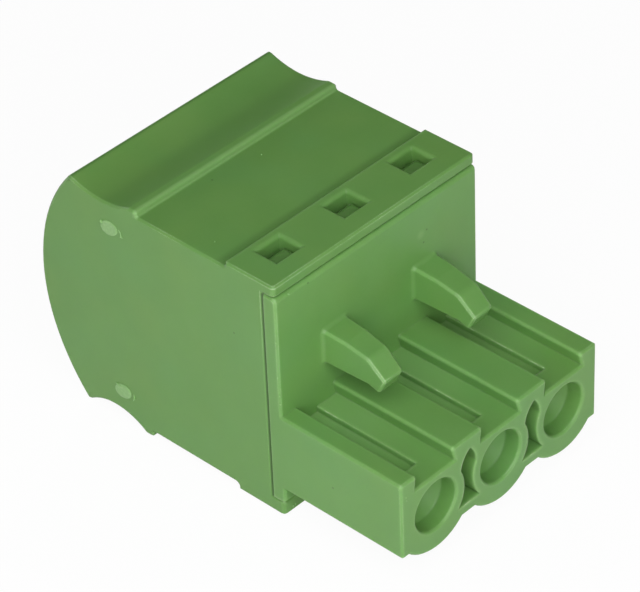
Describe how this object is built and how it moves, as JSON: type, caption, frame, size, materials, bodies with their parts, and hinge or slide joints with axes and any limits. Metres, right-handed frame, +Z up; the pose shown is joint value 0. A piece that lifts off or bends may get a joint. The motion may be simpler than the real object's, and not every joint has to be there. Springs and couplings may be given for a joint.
{
  "type": "pluggable terminal block",
  "caption": "Pluggable terminal block: a nose with round pin entries and coding slots, two latch arms, and a curved back where wires and a screwdriver enter.",
  "frame": {"origin": "middle of the bounding box, on the underside that the block rests on", "axes": "-Y out of the nose towards the board header, +Y out of the wire entries, X along the row of poles, +Z up"},
  "size_m": [0.0154, 0.0262, 0.0153],
  "materials": {
    "housing_plastic": "satin moulded polyamide",
    "nose_plastic": "satin moulded polyamide",
    "tinned_contact": "tin-plated copper alloy",
    "spring_steel": "bright spring steel",
    "plated_frame": "nickel-plated steel",
    "zinc_screw": "zinc-plated steel",
    "plated_nut": "nickel-plated brass",
    "plated_jaw": "nickel-plated brass"
  },
  "bodies": {
    "block": {"housing": "housing_plastic", "nose_front": "nose_plastic", "contact_1": "tinned_contact", "contact_spring_1": "spring_steel", "clamp_frame_1": "plated_frame", "contact_2": "tinned_contact", "contact_spring_2": "spring_steel", "clamp_frame_2": "plated_frame", "contact_3": "tinned_contact", "contact_spring_3": "spring_steel", "clamp_frame_3": "plated_frame"},
    "screw_1": {"clamp_screw_1": "zinc_screw"},
    "nut_1": {"wedge_nut_1": "plated_nut"},
    "jaw_1": {"clamp_jaw_1": "plated_jaw"},
    "screw_2": {"clamp_screw_2": "zinc_screw"},
    "nut_2": {"wedge_nut_2": "plated_nut"},
    "jaw_2": {"clamp_jaw_2": "plated_jaw"},
    "screw_3": {"clamp_screw_3": "zinc_screw"},
    "nut_3": {"wedge_nut_3": "plated_nut"},
    "jaw_3": {"clamp_jaw_3": "plated_jaw"}
  },
  "joints": [
    {"name": "nut_slide_1", "type": "slide", "parent": "block", "child": "nut_1", "axis": [0, 1, 0], "range_m": [0, 0.0025]},
    {"name": "screw_turn_1", "type": "hinge", "parent": "block", "child": "screw_1", "pos_m": [-0.00508, 0.00724, 0.01118], "axis": [0, -1, 0], "range_deg": [0, 1800]},
    {"name": "jaw_slide_1", "type": "slide", "parent": "block", "child": "jaw_1", "axis": [0, 0, -1], "range_m": [0, 0.0025]},
    {"name": "nut_slide_2", "type": "slide", "parent": "block", "child": "nut_2", "axis": [0, 1, 0], "range_m": [0, 0.0025]},
    {"name": "screw_turn_2", "type": "hinge", "parent": "block", "child": "screw_2", "pos_m": [0, 0.00724, 0.01118], "axis": [0, -1, 0], "range_deg": [0, 1800]},
    {"name": "jaw_slide_2", "type": "slide", "parent": "block", "child": "jaw_2", "axis": [0, 0, -1], "range_m": [0, 0.0025]},
    {"name": "nut_slide_3", "type": "slide", "parent": "block", "child": "nut_3", "axis": [0, 1, 0], "range_m": [0, 0.0025]},
    {"name": "screw_turn_3", "type": "hinge", "parent": "block", "child": "screw_3", "pos_m": [0.00508, 0.00724, 0.01118], "axis": [0, -1, 0], "range_deg": [0, 1800]},
    {"name": "jaw_slide_3", "type": "slide", "parent": "block", "child": "jaw_3", "axis": [0, 0, -1], "range_m": [0, 0.0025]}
  ],
  "couplings": [
    {"joint": "screw_turn_1", "follows": "nut_slide_1", "rad_per_m": 12566},
    {"joint": "jaw_slide_1", "follows": "nut_slide_1", "ratio": 1},
    {"joint": "screw_turn_2", "follows": "nut_slide_2", "rad_per_m": 12566},
    {"joint": "jaw_slide_2", "follows": "nut_slide_2", "ratio": 1},
    {"joint": "screw_turn_3", "follows": "nut_slide_3", "rad_per_m": 12566},
    {"joint": "jaw_slide_3", "follows": "nut_slide_3", "ratio": 1}
  ]
}
